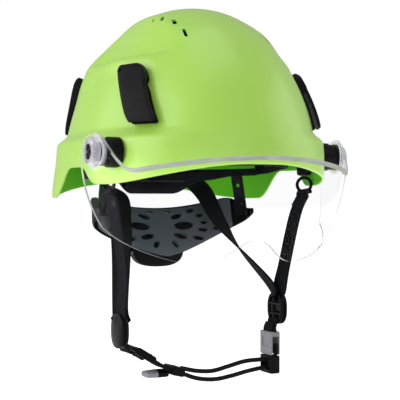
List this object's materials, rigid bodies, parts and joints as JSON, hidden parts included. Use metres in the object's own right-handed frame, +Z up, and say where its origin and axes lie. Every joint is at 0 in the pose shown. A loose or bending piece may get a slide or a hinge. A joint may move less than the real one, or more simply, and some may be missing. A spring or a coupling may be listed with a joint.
{
  "type": "forestry helmet",
  "caption": "Vented hard-shell climbing and forestry helmet with a pivoting clear half-face visor, size-adjusting harness and buckled chin strap.",
  "frame": {"origin": "middle of the head opening, level with the visor's pivots, where the helmet sits on a head", "axes": "+Z up through the crown, -Y out of the forehead, +X to the wearer's left"},
  "size_m": [0.249, 0.2944, 0.3373],
  "materials": {
    "hi_viz_shell": "moulded satin-gloss plastic, hi-viz lime",
    "liner_foam": "moulded foam",
    "clear_visor": "clear polycarbonate",
    "milky_seal": "translucent soft strip",
    "black_plastic": "moulded, fine spark grain",
    "harness_plastic": "moulded satin",
    "slate_pad": "perforated soft pad",
    "black_webbing": "woven polyester webbing",
    "black_elastic": "braided elastic cord",
    "grey_plastic": "moulded"
  },
  "bodies": {
    "helmet": {"brow_pad": "slate_pad", "buckle_female": "grey_plastic", "buckle_link": "black_webbing", "crown_pad": "slate_pad", "crown_strap_a": "black_webbing", "crown_strap_b": "black_webbing", "front_strap_left": "black_webbing", "front_strap_right": "black_webbing", "headband_arm_left": "harness_plastic", "headband_arm_right": "harness_plastic", "headband_front": "harness_plastic", "impact_liner": "liner_foam", "lamp_clip_front_left": "black_plastic", "lamp_clip_front_right": "black_plastic", "lamp_clip_rear_left": "black_plastic", "lamp_clip_rear_right": "black_plastic", "outer_shell": "hi_viz_shell", "rear_strap_left": "black_webbing", "rear_strap_right": "black_webbing", "strap_anchor_front_left": "black_plastic", "strap_anchor_front_right": "black_plastic", "strap_anchor_rear_left": "black_plastic", "strap_anchor_rear_right": "black_plastic", "strap_ring_front_left": "black_plastic", "strap_ring_front_right": "black_plastic", "suspension_anchor_front_left": "harness_plastic", "suspension_anchor_front_right": "harness_plastic", "suspension_anchor_rear_left": "harness_plastic", "suspension_anchor_rear_right": "harness_plastic", "visor_pivot_base_left": "black_plastic", "visor_pivot_base_right": "black_plastic", "visor_pivot_pin_left": "black_plastic", "visor_pivot_pin_right": "black_plastic", "y_slider_left": "black_plastic", "y_slider_right": "black_plastic"},
    "visor": {"visor_lens": "clear_visor", "visor_hub_right": "clear_visor", "visor_hub_left": "clear_visor", "visor_brow_seal": "milky_seal"},
    "nape_unit": {"headband_rear": "harness_plastic", "nape_cradle": "harness_plastic", "nape_pad": "slate_pad", "nape_hanger_right": "harness_plastic", "nape_hanger_left": "harness_plastic", "ratchet_housing": "black_plastic"},
    "size_knob": {"ratchet_knob": "black_plastic", "ratchet_pinion": "grey_plastic"},
    "rack_right": {"rack_strip_right": "grey_plastic"},
    "rack_left": {"rack_strip_left": "grey_plastic"},
    "chin_strap": {"chin_link": "black_webbing", "chin_adjuster": "black_plastic", "chin_webbing": "black_webbing", "strap_keeper": "black_plastic", "strap_end_tip": "grey_plastic", "chin_cord_upper": "black_elastic", "chin_cord_lower": "black_elastic", "buckle_male": "black_plastic", "buckle_guide": "black_plastic"},
    "button_front": {"buckle_button_front": "black_plastic"},
    "button_rear": {"buckle_button_rear": "black_plastic"}
  },
  "joints": [
    {"name": "visor_hinge", "type": "hinge", "parent": "helmet", "child": "visor", "pos_m": [0, -0.067, 0], "axis": [-1, 0, 0], "range_deg": [0, 46]},
    {"name": "size_slide", "type": "slide", "parent": "helmet", "child": "nape_unit", "axis": [0, 1, 0], "range_m": [-0.007, 0.007]},
    {"name": "knob_turn", "type": "hinge", "parent": "nape_unit", "child": "size_knob", "pos_m": [0, 0.076, -0.082], "axis": [0, 1, 0], "range_deg": [-58, 58]},
    {"name": "rack_slide_right", "type": "slide", "parent": "nape_unit", "child": "rack_right", "axis": [1, 0, 0], "range_m": [-0.0071, 0.0071]},
    {"name": "rack_slide_left", "type": "slide", "parent": "nape_unit", "child": "rack_left", "axis": [1, 0, 0], "range_m": [-0.0071, 0.0071]},
    {"name": "chin_strap_swing", "type": "hinge", "parent": "helmet", "child": "chin_strap", "pos_m": [-0.076, -0.027, -0.166], "axis": [0, 1, 0], "range_deg": [0, 80]},
    {"name": "buckle_press_front", "type": "slide", "parent": "chin_strap", "child": "button_front", "axis": [0, 1, 0], "range_m": [0, 0.0025], "stiffness_N_per_m": 500, "springref_m": -0.0005},
    {"name": "buckle_press_rear", "type": "slide", "parent": "chin_strap", "child": "button_rear", "axis": [0, -1, 0], "range_m": [0, 0.0025], "stiffness_N_per_m": 500, "springref_m": -0.0005}
  ],
  "couplings": [
    {"joint": "knob_turn", "follows": "size_slide", "rad_per_m": 142.86},
    {"joint": "rack_slide_right", "follows": "size_slide", "ratio": -1},
    {"joint": "rack_slide_left", "follows": "size_slide", "ratio": 1}
  ]
}
